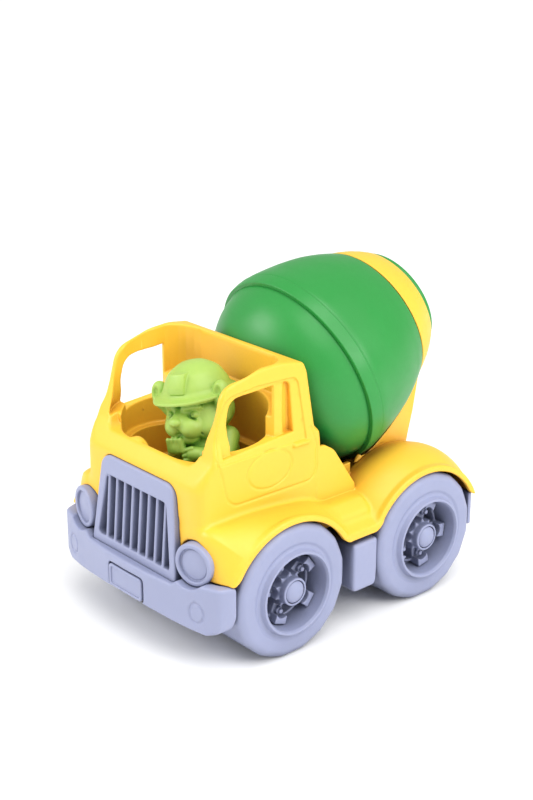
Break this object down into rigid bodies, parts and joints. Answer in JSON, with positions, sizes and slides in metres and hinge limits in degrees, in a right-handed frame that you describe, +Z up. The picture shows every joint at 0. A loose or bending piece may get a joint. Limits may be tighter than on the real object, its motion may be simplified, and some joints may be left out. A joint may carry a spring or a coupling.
{
  "type": "toy cement mixer",
  "caption": "Chunky plastic toy cement mixer truck: open cab with a lift-out driver, free-rolling wheels and a tilted drum that turns.",
  "frame": {"origin": "on the ground under the middle of the truck's bounding box", "axes": "+Z up, -Y forwards out of the grille, +X to the truck's left side"},
  "size_m": [0.14, 0.1962, 0.1761],
  "materials": {
    "body_yellow": "satin moulded plastic with a faint waxy sheen",
    "trim_grey": "satin moulded plastic, blue-grey",
    "wheel_grey": "satin moulded plastic, blue-grey",
    "drum_green": "satin moulded plastic with a fine grain",
    "driver_lime": "satin soft plastic",
    "spindle_grey": "plain moulded plastic",
    "steel": "plain drawn steel"
  },
  "bodies": {
    "truck": {"body_shell": "body_yellow", "drum_cradle": "body_yellow", "drum_spindle": "spindle_grey", "chassis": "trim_grey", "chassis_screws": "steel", "front_bumper": "trim_grey", "number_plate": "trim_grey", "grille": "trim_grey", "rear_bumper": "trim_grey", "headlight_left": "trim_grey", "headlight_right": "trim_grey", "side_step_left": "trim_grey", "side_step_right": "trim_grey", "axle_front": "steel", "axle_rear": "steel", "axle_cap_front_left": "wheel_grey", "axle_cap_front_right": "wheel_grey", "axle_cap_rear_left": "wheel_grey", "axle_cap_rear_right": "wheel_grey"},
    "drum": {"drum_front_shell": "drum_green", "drum_rear_shell": "drum_green", "drum_mouth_flange": "drum_green"},
    "driver": {"driver": "driver_lime"},
    "wheel_front_left": {"tyre_front_left": "wheel_grey", "hub_front_left": "wheel_grey"},
    "wheel_front_right": {"tyre_front_right": "wheel_grey", "hub_front_right": "wheel_grey"},
    "wheel_rear_left": {"tyre_rear_left": "wheel_grey", "hub_rear_left": "wheel_grey"},
    "wheel_rear_right": {"tyre_rear_right": "wheel_grey", "hub_rear_right": "wheel_grey"}
  },
  "joints": [
    {"name": "wheel_front_left_spin", "type": "hinge", "parent": "truck", "child": "wheel_front_left", "pos_m": [0.0485, -0.044, 0.035], "axis": [1, 0, 0], "continuous": true},
    {"name": "wheel_front_right_spin", "type": "hinge", "parent": "truck", "child": "wheel_front_right", "pos_m": [-0.0485, -0.044, 0.035], "axis": [1, 0, 0], "continuous": true},
    {"name": "wheel_rear_left_spin", "type": "hinge", "parent": "truck", "child": "wheel_rear_left", "pos_m": [0.0485, 0.05, 0.035], "axis": [1, 0, 0], "continuous": true},
    {"name": "wheel_rear_right_spin", "type": "hinge", "parent": "truck", "child": "wheel_rear_right", "pos_m": [-0.0485, 0.05, 0.035], "axis": [1, 0, 0], "continuous": true},
    {"name": "drum_spin", "type": "hinge", "parent": "truck", "child": "drum", "pos_m": [0, 0.0168, 0.1172], "axis": [0, 0.9403, 0.3404], "continuous": true},
    {"name": "driver_lift", "type": "slide", "parent": "truck", "child": "driver", "axis": [0, 0, 1], "range_m": [0, 0.09]}
  ]
}
